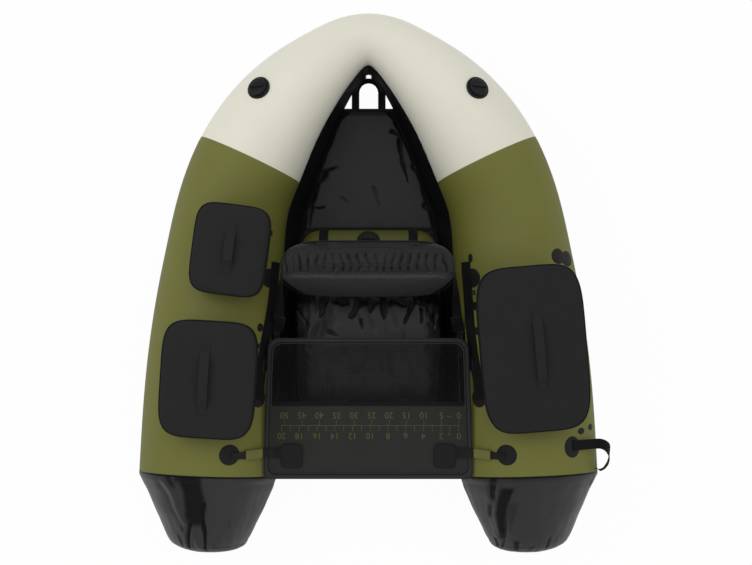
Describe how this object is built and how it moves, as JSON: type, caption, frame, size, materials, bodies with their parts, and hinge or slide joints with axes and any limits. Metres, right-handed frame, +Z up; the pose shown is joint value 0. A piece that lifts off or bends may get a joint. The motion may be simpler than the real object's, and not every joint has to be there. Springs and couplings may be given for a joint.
{
  "type": "float tube",
  "caption": "V-shaped inflatable one-person fishing craft with an inflated seat and backrest, a clip-on stripping apron, a cargo bay and zipped bags on its tubes.",
  "frame": {"origin": "on the ground under the middle of the hull, half way between bow and stern", "axes": "+X to the tube with one long bag (picture right), +Y to the bow, +Z up"},
  "size_m": [1.3674, 1.5713, 0.538],
  "materials": {
    "cream_pvc": "matt PVC-coated fabric",
    "olive_pvc": "matt PVC-coated fabric",
    "black_pvc": "glossy PVC-coated fabric",
    "black_fabric": "woven nylon",
    "coated_fabric": "coated nylon with a slight gloss",
    "webbing": "ribbed polyester webbing",
    "black_plastic": "moulded, satin",
    "olive_plastic": "moulded, satin",
    "black_net": "knitted mesh"
  },
  "bodies": {
    "hull": {"bow_tube": "cream_pvc", "right_side_tube": "olive_pvc", "left_side_tube": "olive_pvc", "right_tail_cone": "black_pvc", "left_tail_cone": "black_pvc", "bow_baffle": "cream_pvc", "right_seam_tape": "olive_pvc", "left_seam_tape": "olive_pvc", "right_valve_body": "black_plastic", "left_valve_body": "black_plastic", "cross_valve_body": "black_plastic", "cargo_deck": "black_fabric", "seat_floor": "black_fabric", "right_bay_wall": "coated_fabric", "left_bay_wall": "coated_fabric", "bow_handle": "webbing", "cross_tube": "olive_pvc", "right_cross_strap": "webbing", "left_cross_strap": "webbing", "seat_cushion": "coated_fabric", "right_back_strap": "webbing", "left_back_strap": "webbing", "right_back_adjuster": "black_plastic", "left_back_adjuster": "black_plastic", "right_side_strap": "webbing", "left_side_strap": "webbing", "right_side_buckle": "black_plastic", "left_side_buckle": "black_plastic", "apron_binding": "black_fabric", "apron_net": "black_net", "apron_panel": "black_fabric", "right_apron_patch": "black_pvc", "left_apron_patch": "black_pvc", "right_apron_buckle": "olive_plastic", "left_apron_buckle": "olive_plastic", "right_apron_plate": "black_plastic", "left_apron_plate": "black_plastic", "right_apron_tab": "webbing", "left_apron_tab": "webbing", "left_front_bag_body": "black_fabric", "left_rear_bag_body": "black_fabric", "right_bag_body": "black_fabric", "stern_handle": "webbing", "stern_patch": "black_pvc"},
    "left_front_lid": {"left_front_bag_lid": "black_fabric", "left_front_bag_handle": "webbing"},
    "left_rear_lid": {"left_rear_bag_lid": "black_fabric", "left_rear_bag_handle": "webbing"},
    "right_lid": {"right_bag_lid": "black_fabric", "right_bag_handle": "webbing"},
    "left_front_zip": {"left_front_bag_slider": "black_plastic"},
    "left_rear_zip": {"left_rear_bag_slider": "black_plastic"},
    "right_zip": {"right_bag_slider": "black_plastic"},
    "backrest": {"backrest_cover": "coated_fabric", "backrest_bladder": "olive_pvc"},
    "right_cap": {"right_valve_cap": "black_plastic"},
    "left_cap": {"left_valve_cap": "black_plastic"},
    "cross_cap": {"cross_valve_cap": "black_plastic"},
    "right_clip": {"right_apron_clip": "black_plastic"},
    "left_clip": {"left_apron_clip": "black_plastic"}
  },
  "joints": [
    {"name": "left_front_lid_hinge", "type": "hinge", "parent": "hull", "child": "left_front_lid", "pos_m": [-0.48228, 0.10365, 0.41682], "axis": [-0.1289, -0.9917, 0], "range_deg": [0, 115]},
    {"name": "left_rear_lid_hinge", "type": "hinge", "parent": "hull", "child": "left_rear_lid", "pos_m": [-0.56487, -0.25458, 0.45357], "axis": [-0.0632, -0.998, 0], "range_deg": [0, 115]},
    {"name": "right_lid_hinge", "type": "hinge", "parent": "hull", "child": "right_lid", "pos_m": [0.59668, -0.16934, 0.44743], "axis": [-0.0836, 0.9965, 0], "range_deg": [0, 115]},
    {"name": "left_front_zip_slide", "type": "slide", "parent": "hull", "child": "left_front_zip", "axis": [-0.1289, -0.9917, 0], "range_m": [0, 0.118]},
    {"name": "left_rear_zip_slide", "type": "slide", "parent": "hull", "child": "left_rear_zip", "axis": [-0.0632, -0.998, 0], "range_m": [0, 0.19]},
    {"name": "right_zip_slide", "type": "slide", "parent": "hull", "child": "right_zip", "axis": [0.0836, -0.9965, 0], "range_m": [0, 0.325]},
    {"name": "backrest_fold", "type": "hinge", "parent": "hull", "child": "backrest", "pos_m": [0, -0.041, 0.2348], "axis": [1, 0, 0], "range_deg": [0, 45], "deforming": ["left_back_strap", "right_back_strap"]},
    {"name": "right_valve_turn", "type": "hinge", "parent": "hull", "child": "right_cap", "pos_m": [0.30931, 0.54943, 0.36098], "axis": [0.3719, 0.2878, 0.8826], "range_deg": [0, 90]},
    {"name": "left_valve_turn", "type": "hinge", "parent": "hull", "child": "left_cap", "pos_m": [-0.30931, 0.54943, 0.36098], "axis": [-0.3719, 0.2878, 0.8826], "range_deg": [0, 90]},
    {"name": "cross_valve_turn", "type": "hinge", "parent": "hull", "child": "cross_cap", "pos_m": [0, 0.12241, 0.24677], "axis": [0, 0.5158, 0.8567], "range_deg": [0, 90]},
    {"name": "right_clip_slide", "type": "slide", "parent": "hull", "child": "right_clip", "axis": [0.7669, -0.0012, 0.6418], "range_m": [0, 0.028]},
    {"name": "left_clip_slide", "type": "slide", "parent": "hull", "child": "left_clip", "axis": [-0.7669, -0.0012, 0.6418], "range_m": [0, 0.028]}
  ]
}
